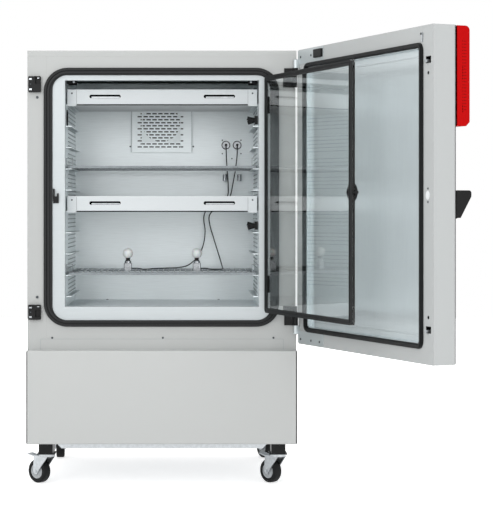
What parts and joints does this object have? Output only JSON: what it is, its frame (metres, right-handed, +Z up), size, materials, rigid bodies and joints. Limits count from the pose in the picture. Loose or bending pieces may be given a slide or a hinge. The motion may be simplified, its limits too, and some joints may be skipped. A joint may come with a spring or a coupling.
{
  "type": "laboratory incubator",
  "caption": "Floor-standing laboratory incubator on casters with an insulated outer door, an inner glass door, wire shelves and light cassettes.",
  "frame": {"origin": "middle of the base of the whole object's box, on the floor, with both doors standing open as at rest", "axes": "+Z up, +Y from the door side to the back, +X to the right as seen from the front, where the doors are hinged"},
  "size_m": [1.371, 1.5687, 1.46],
  "materials": {
    "painted_sheet": "satin",
    "cover_paint": "satin",
    "stainless": "satin",
    "zinc": "satin",
    "black_rubber": "matte",
    "black_plastic": "satin",
    "red_plastic": "satin",
    "clear_glass": "gloss",
    "mineral_wool": "matte",
    "tyre_rubber": "matte",
    "white_plastic": "matte",
    "aluminium": "satin",
    "cord_jacket": "satin",
    "machine_black": "satin"
  },
  "bodies": {
    "cabinet": {"top_panel": "painted_sheet", "left_side_panel": "painted_sheet", "right_side_panel": "painted_sheet", "rear_panel": "painted_sheet", "front_frame": "painted_sheet", "service_strip": "painted_sheet", "lower_front_cover": "cover_paint", "base_frame": "machine_black", "caster_mounts": "black_plastic", "chamber_shell": "stainless", "air_baffle": "stainless", "inner_frame": "stainless", "shelf_rails": "stainless", "body_gasket": "black_rubber", "access_port": "black_plastic", "door_strikers": "black_plastic", "door_hinge_brackets": "black_plastic", "glass_door_fittings": "black_plastic", "fan_grille": "stainless", "fan_motor": "machine_black", "heat_exchanger": "aluminium", "compressor": "machine_black", "condenser": "aluminium", "insulation": "mineral_wool", "shelf_stops": "stainless", "lamp_connectors": "black_plastic", "sensor_sockets": "black_plastic", "lower_shelf": "stainless", "light_sensors": "aluminium", "sensor_cord_left": "cord_jacket", "sensor_cord_right": "cord_jacket", "panel_screws": "zinc", "power_inlet": "black_plastic"},
    "outer_door": {"door_shell": "painted_sheet", "door_inner_panel": "stainless", "door_gasket": "black_rubber", "door_hinge_leaves": "stainless", "control_housing": "red_plastic", "door_handle_base": "black_plastic"},
    "handle_paddle": {"door_handle": "black_plastic"},
    "lock_bar_body": {"lock_bar": "zinc"},
    "glass_door": {"glass_pane": "clear_glass", "glass_gasket": "black_rubber", "glass_hinge_leaves": "black_plastic"},
    "latch_knob": {"glass_latch_knob": "black_plastic"},
    "fan": {"fan_impeller": "black_plastic"},
    "rocker": {"power_switch": "black_plastic"},
    "upper_shelf_body": {"upper_shelf": "stainless"},
    "upper_cassette": {"upper_light_cassette": "stainless"},
    "lower_cassette": {"lower_light_cassette": "stainless"},
    "swivel_front_left": {"caster_fork_front_left": "zinc"},
    "wheel_front_left": {"caster_wheel_front_left": "tyre_rubber"},
    "pedal_front_left": {"brake_pedal_front_left": "zinc"},
    "swivel_front_right": {"caster_fork_front_right": "zinc"},
    "wheel_front_right": {"caster_wheel_front_right": "tyre_rubber"},
    "pedal_front_right": {"brake_pedal_front_right": "zinc"},
    "swivel_rear_left": {"caster_fork_rear_left": "zinc"},
    "wheel_rear_left": {"caster_wheel_rear_left": "tyre_rubber"},
    "swivel_rear_right": {"caster_fork_rear_right": "zinc"},
    "wheel_rear_right": {"caster_wheel_rear_right": "tyre_rubber"}
  },
  "joints": [
    {"name": "outer_door_swing", "type": "hinge", "parent": "cabinet", "child": "outer_door", "pos_m": [0.2235, 0.03644, 0.97], "axis": [0, 0, 1], "range_deg": [-112.2, 20]},
    {"name": "glass_door_swing", "type": "hinge", "parent": "cabinet", "child": "glass_door", "pos_m": [0.1235, 0.04044, 0.978], "axis": [0, 0, 1], "range_deg": [-109.7, 19.6]},
    {"name": "door_handle_pull", "type": "hinge", "parent": "outer_door", "child": "handle_paddle", "pos_m": [0.62674, -0.69761, 0.914], "axis": [-0.3778, 0.9259, 0], "range_deg": [0, 30], "stiffness_Nm_per_rad": 2, "springref_deg": -5.73},
    {"name": "lock_bar_slide", "type": "slide", "parent": "outer_door", "child": "lock_bar_body", "axis": [0, 0, 1], "range_m": [0, 0.008]},
    {"name": "glass_latch_turn", "type": "hinge", "parent": "glass_door", "child": "latch_knob", "pos_m": [0.35273, -0.58701, 0.979], "axis": [-0.9415, -0.3371, 0], "range_deg": [0, 35]},
    {"name": "fan_spin", "type": "hinge", "parent": "cabinet", "child": "fan", "pos_m": [-0.2355, 0.58644, 1.244], "axis": [0, 1, 0], "continuous": true},
    {"name": "power_switch_rock", "type": "hinge", "parent": "cabinet", "child": "rocker", "pos_m": [-0.4935, 0.76144, 0.42], "axis": [1, 0, 0], "range_deg": [0, 12]},
    {"name": "upper_shelf_slide", "type": "slide", "parent": "cabinet", "child": "upper_shelf_body", "axis": [0, -1, 0], "range_m": [0, 0.35]},
    {"name": "upper_cassette_slide", "type": "slide", "parent": "cabinet", "child": "upper_cassette", "axis": [0, -1, 0], "range_m": [0, 0.35]},
    {"name": "lower_cassette_slide", "type": "slide", "parent": "cabinet", "child": "lower_cassette", "axis": [0, -1, 0], "range_m": [0, 0.35]},
    {"name": "caster_swivel_front_left", "type": "hinge", "parent": "cabinet", "child": "swivel_front_left", "pos_m": [-0.6145, 0.12244, 0.0917], "axis": [0, 0, 1], "continuous": true},
    {"name": "wheel_spin_front_left", "type": "hinge", "parent": "swivel_front_left", "child": "wheel_front_left", "pos_m": [-0.6417, 0.14447, 0.04], "axis": [-0.6293, -0.7771, 0], "continuous": true},
    {"name": "brake_press_front_left", "type": "hinge", "parent": "swivel_front_left", "child": "pedal_front_left", "pos_m": [-0.63782, 0.14132, 0.0875], "axis": [-0.6293, -0.7771, 0], "range_deg": [0, 15]},
    {"name": "caster_swivel_front_right", "type": "hinge", "parent": "cabinet", "child": "swivel_front_right", "pos_m": [0.1675, 0.12244, 0.0917], "axis": [0, 0, 1], "continuous": true},
    {"name": "wheel_spin_front_right", "type": "hinge", "parent": "swivel_front_right", "child": "wheel_front_right", "pos_m": [0.145, 0.14925, 0.04], "axis": [-0.766, -0.6428, 0], "continuous": true},
    {"name": "brake_press_front_right", "type": "hinge", "parent": "swivel_front_right", "child": "pedal_front_right", "pos_m": [0.14821, 0.14542, 0.0875], "axis": [-0.766, -0.6428, 0], "range_deg": [0, 15]},
    {"name": "caster_swivel_rear_left", "type": "hinge", "parent": "cabinet", "child": "swivel_rear_left", "pos_m": [-0.6145, 0.70744, 0.0917], "axis": [0, 0, 1], "continuous": true},
    {"name": "wheel_spin_rear_left", "type": "hinge", "parent": "swivel_rear_left", "child": "wheel_rear_left", "pos_m": [-0.61572, 0.74242, 0.04], "axis": [-0.9994, -0.0349, 0], "continuous": true},
    {"name": "caster_swivel_rear_right", "type": "hinge", "parent": "cabinet", "child": "swivel_rear_right", "pos_m": [0.1675, 0.70744, 0.0917], "axis": [0, 0, 1], "continuous": true},
    {"name": "wheel_spin_rear_right", "type": "hinge", "parent": "swivel_rear_right", "child": "wheel_rear_right", "pos_m": [0.15053, 0.73805, 0.04], "axis": [-0.8746, -0.4848, 0], "continuous": true}
  ],
  "couplings": [
    {"joint": "glass_door_swing", "follows": "outer_door_swing", "ratio": 0.97772},
    {"joint": "lock_bar_slide", "follows": "door_handle_pull", "m_per_rad": 0.015278}
  ]
}
